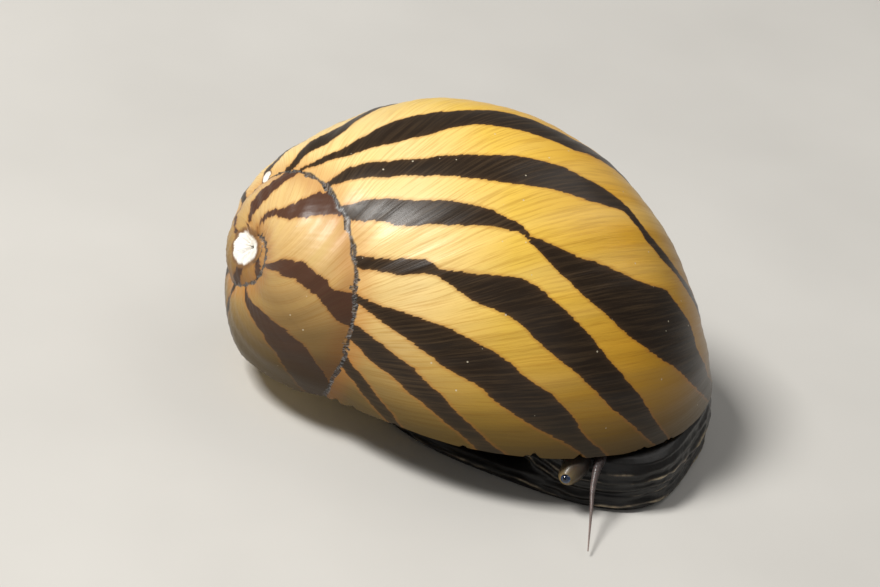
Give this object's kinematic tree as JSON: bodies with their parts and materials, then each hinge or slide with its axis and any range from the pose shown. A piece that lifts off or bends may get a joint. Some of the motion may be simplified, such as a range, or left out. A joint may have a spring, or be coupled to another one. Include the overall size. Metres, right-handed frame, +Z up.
{
  "type": "nerite snail",
  "caption": "Life-size freshwater snail with a low rounded coiled shell carried over a flat muscular foot, a broad blunt head, slender feelers and short eye stalks; set in a crawling pose",
  "frame": {"origin": "on the flat sole of the foot, near the middle of its length, at the level of the surface that the animal crawls on", "axes": "-Y is the way the head faces, +X is the animal's left side, +Z is up, away from the surface"},
  "size_m": [0.0214, 0.0263, 0.0158],
  "materials": {
    "shell_ochre": "glossy ochre-yellow shell crossed by jagged near-black brown bands",
    "shell_spire_tan": "glossy tan shell of the older whorl with purplish brown bands",
    "shell_worn_white": "dull chalky white where the oldest shell has worn away",
    "callus_cream": "smooth cream-yellow enamel-like shell",
    "operculum_brown": "smooth horny dark brown",
    "flesh_charcoal": "moist near-black wrinkled skin with grey-brown ridges",
    "sole_grey": "moist dark grey skin",
    "feeler_mauve": "moist translucent grey-mauve skin",
    "eye_blue_black": "wet glossy blue-black"
  },
  "bodies": {
    "root": {"shell_body_whorl": "shell_ochre", "shell_spire": "shell_spire_tan", "shell_apex": "shell_worn_white", "columellar_deck": "callus_cream", "mantle": "flesh_charcoal", "foot": "sole_grey", "foot_front_lobe": "sole_grey", "body_stalk": "flesh_charcoal", "operculum": "operculum_brown", "head": "flesh_charcoal", "feeler_right_root": "feeler_mauve", "feeler_right_end": "feeler_mauve", "feeler_left_root": "feeler_mauve", "feeler_left_end": "feeler_mauve", "eye_stalk_right": "feeler_mauve", "eye_stalk_left": "feeler_mauve", "eye_right": "eye_blue_black", "eye_left": "eye_blue_black"}
  },
  "joints": []
}
